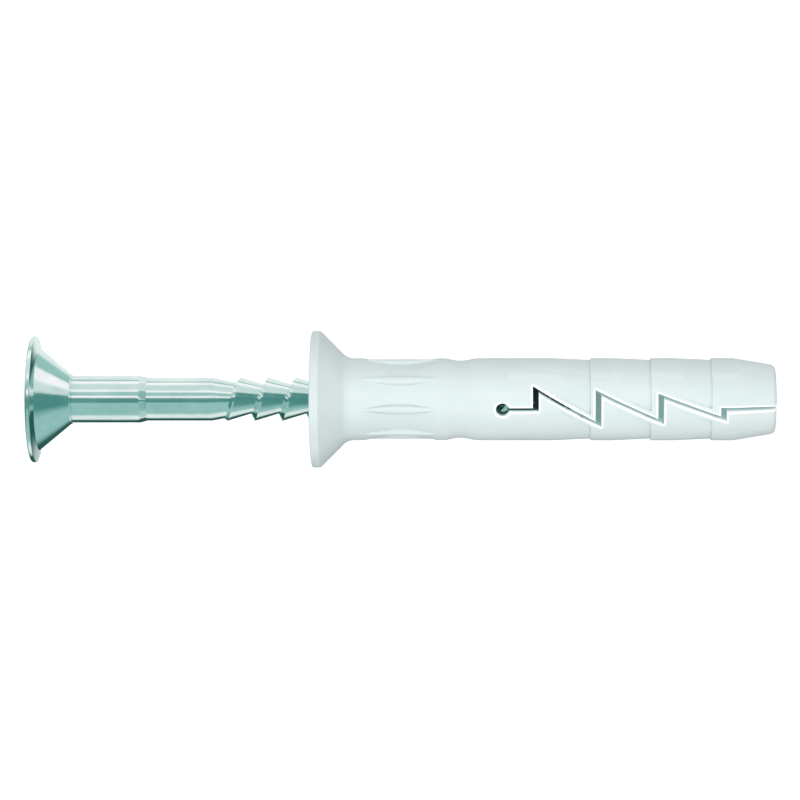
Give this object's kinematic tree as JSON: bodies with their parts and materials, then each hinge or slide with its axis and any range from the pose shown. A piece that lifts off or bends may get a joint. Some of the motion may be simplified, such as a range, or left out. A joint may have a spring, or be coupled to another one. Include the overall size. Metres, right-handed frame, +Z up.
{
  "type": "hammer-in wall anchor",
  "caption": "Nylon hammer-in wall plug with countersunk collar, barbs and zigzag expansion slot, and a steel drive screw part-way in.",
  "frame": {"origin": "centre of the collar's front face, on the anchor's axis", "axes": "+X along the anchor towards the plug's tip, into the wall; +Z up, away from the slot's plane; the slot is cut along Y"},
  "size_m": [0.0724, 0.0132, 0.0132],
  "materials": {
    "nylon": "matte light grey moulded nylon, fine grain",
    "zinc_plated_steel": "bright zinc plating with a faint green-blue tint"
  },
  "bodies": {
    "sleeve": {"plug_sleeve": "nylon"},
    "upper_leg": {"upper_leg": "nylon"},
    "lower_leg": {"lower_leg": "nylon"},
    "screw": {"drive_screw": "zinc_plated_steel"}
  },
  "joints": [
    {"name": "screw_drive", "type": "slide", "parent": "sleeve", "child": "screw", "axis": [1, 0, 0], "range_m": [0, 0.0269]},
    {"name": "upper_leg_swing", "type": "hinge", "parent": "sleeve", "child": "upper_leg", "pos_m": [0.01857, 0, 0.004], "axis": [0, -1, 0], "range_deg": [0, 2.5]},
    {"name": "lower_leg_swing", "type": "hinge", "parent": "sleeve", "child": "lower_leg", "pos_m": [0.01857, 0, -0.004], "axis": [0, 1, 0], "range_deg": [0, 2.5]}
  ],
  "couplings": [
    {"joint": "upper_leg_swing", "follows": "screw_drive", "rad_per_m": 1.62},
    {"joint": "lower_leg_swing", "follows": "screw_drive", "rad_per_m": 1.62}
  ]
}
